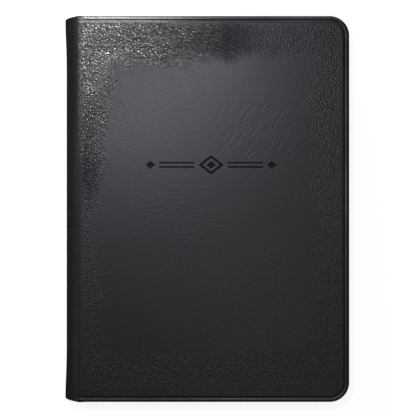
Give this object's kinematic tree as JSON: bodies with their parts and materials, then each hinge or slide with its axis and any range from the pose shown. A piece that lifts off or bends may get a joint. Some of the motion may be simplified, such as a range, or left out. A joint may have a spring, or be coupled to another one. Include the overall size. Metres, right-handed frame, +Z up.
{
  "type": "address book",
  "caption": "Leather-bound address book with rounded spine, creased cover edges and a step-cut letter index; opens at the front cover and at the middle.",
  "frame": {"origin": "under the middle of the closed book, on the outside of the back cover that it lies on", "axes": "+X from the spine to the fore edge, +Y from tail to head, +Z up from back cover to front cover"},
  "size_m": [0.145, 0.197, 0.02],
  "materials": {
    "leather": "pebble grain, satin",
    "board": "matt grey board",
    "end_paper": "laid, matt",
    "lining": "open weave",
    "band": "woven, striped",
    "paper": "uncoated, ruled",
    "index_paper": "stiff, uncoated"
  },
  "bodies": {
    "back_half": {"back_cover_leather": "leather", "back_board": "board", "back_filler": "board", "back_pastedown": "end_paper", "spine_leather_back": "leather", "spine_lining_back": "lining", "head_band_back": "band", "tail_band_back": "band"},
    "front_half": {"spine_leather_front": "leather", "spine_lining_front": "lining", "head_band_front": "band", "tail_band_front": "band"},
    "front_cover": {"front_cover_leather": "leather", "front_board": "board", "front_filler": "board", "front_pastedown": "end_paper"},
    "front_end_leaf": {"front_flyleaf": "end_paper"},
    "back_end_leaf": {"back_flyleaf": "end_paper"},
    "section_ab": {"leaves_ab": "paper", "index_leaf_ab": "index_paper"},
    "section_cd": {"leaves_cd": "paper", "index_leaf_cd": "index_paper"},
    "section_ef": {"leaves_ef": "paper", "index_leaf_ef": "index_paper"},
    "section_gh": {"leaves_gh": "paper", "index_leaf_gh": "index_paper"},
    "section_ij": {"leaves_ij": "paper", "index_leaf_ij": "index_paper"},
    "section_kl": {"leaves_kl": "paper", "index_leaf_kl": "index_paper"},
    "section_mn": {"leaves_mn": "paper", "index_leaf_mn": "index_paper"},
    "section_op": {"leaves_op": "paper", "index_leaf_op": "index_paper"},
    "section_qr": {"leaves_qr": "paper", "index_leaf_qr": "index_paper"},
    "section_st": {"leaves_st": "paper", "index_leaf_st": "index_paper"},
    "section_uv": {"leaves_uv": "paper", "index_leaf_uv": "index_paper"},
    "section_wxyz": {"leaves_wxyz": "paper", "index_leaf_wxyz": "index_paper"}
  },
  "joints": [
    {"name": "book_opening", "type": "hinge", "parent": "back_half", "child": "front_half", "pos_m": [-0.07255, 0, 0.01], "axis": [0, -1, 0], "range_deg": [0, 180]},
    {"name": "front_cover_opening", "type": "hinge", "parent": "front_half", "child": "front_cover", "pos_m": [-0.0659, 0, 0.02015], "axis": [0, -1, 0], "range_deg": [0, 180]},
    {"name": "front_end_leaf_lift", "type": "hinge", "parent": "front_half", "child": "front_end_leaf", "pos_m": [-0.06798, 0, 0.01631], "axis": [0, -1, 0], "range_deg": [0, 18]},
    {"name": "back_end_leaf_lift", "type": "hinge", "parent": "back_half", "child": "back_end_leaf", "pos_m": [-0.07255, 0, 0.01], "axis": [0, -1, 0], "range_deg": [0, 1]},
    {"name": "section_ab_turn", "type": "hinge", "parent": "back_half", "child": "section_ab", "pos_m": [-0.07255, 0, 0.01], "axis": [0, -1, 0], "range_deg": [0, 178]},
    {"name": "section_cd_turn", "type": "hinge", "parent": "back_half", "child": "section_cd", "pos_m": [-0.07255, 0, 0.01], "axis": [0, -1, 0], "range_deg": [0, 176]},
    {"name": "section_ef_turn", "type": "hinge", "parent": "back_half", "child": "section_ef", "pos_m": [-0.07255, 0, 0.01], "axis": [0, -1, 0], "range_deg": [0, 174]},
    {"name": "section_gh_turn", "type": "hinge", "parent": "back_half", "child": "section_gh", "pos_m": [-0.07255, 0, 0.01], "axis": [0, -1, 0], "range_deg": [0, 172]},
    {"name": "section_ij_turn", "type": "hinge", "parent": "back_half", "child": "section_ij", "pos_m": [-0.07255, 0, 0.01], "axis": [0, -1, 0], "range_deg": [0, 170]},
    {"name": "section_kl_turn", "type": "hinge", "parent": "back_half", "child": "section_kl", "pos_m": [-0.07255, 0, 0.01], "axis": [0, -1, 0], "range_deg": [0, 168]},
    {"name": "section_mn_turn", "type": "hinge", "parent": "back_half", "child": "section_mn", "pos_m": [-0.07255, 0, 0.01], "axis": [0, -1, 0], "range_deg": [0, 12]},
    {"name": "section_op_turn", "type": "hinge", "parent": "back_half", "child": "section_op", "pos_m": [-0.07255, 0, 0.01], "axis": [0, -1, 0], "range_deg": [0, 10]},
    {"name": "section_qr_turn", "type": "hinge", "parent": "back_half", "child": "section_qr", "pos_m": [-0.07255, 0, 0.01], "axis": [0, -1, 0], "range_deg": [0, 8]},
    {"name": "section_st_turn", "type": "hinge", "parent": "back_half", "child": "section_st", "pos_m": [-0.07255, 0, 0.01], "axis": [0, -1, 0], "range_deg": [0, 6]},
    {"name": "section_uv_turn", "type": "hinge", "parent": "back_half", "child": "section_uv", "pos_m": [-0.07255, 0, 0.01], "axis": [0, -1, 0], "range_deg": [0, 4]},
    {"name": "section_wxyz_turn", "type": "hinge", "parent": "back_half", "child": "section_wxyz", "pos_m": [-0.07255, 0, 0.01], "axis": [0, -1, 0], "range_deg": [0, 2]}
  ],
  "couplings": [
    {"joint": "front_end_leaf_lift", "follows": "front_cover_opening", "ratio": 0.1},
    {"joint": "back_end_leaf_lift", "follows": "book_opening", "ratio": 0.0055556},
    {"joint": "section_ab_turn", "follows": "book_opening", "ratio": 0.98889},
    {"joint": "section_cd_turn", "follows": "book_opening", "ratio": 0.97778},
    {"joint": "section_ef_turn", "follows": "book_opening", "ratio": 0.96667},
    {"joint": "section_gh_turn", "follows": "book_opening", "ratio": 0.95556},
    {"joint": "section_ij_turn", "follows": "book_opening", "ratio": 0.94444},
    {"joint": "section_kl_turn", "follows": "book_opening", "ratio": 0.93333},
    {"joint": "section_mn_turn", "follows": "book_opening", "ratio": 0.066667},
    {"joint": "section_op_turn", "follows": "book_opening", "ratio": 0.055556},
    {"joint": "section_qr_turn", "follows": "book_opening", "ratio": 0.044444},
    {"joint": "section_st_turn", "follows": "book_opening", "ratio": 0.033333},
    {"joint": "section_uv_turn", "follows": "book_opening", "ratio": 0.022222},
    {"joint": "section_wxyz_turn", "follows": "book_opening", "ratio": 0.011111}
  ]
}
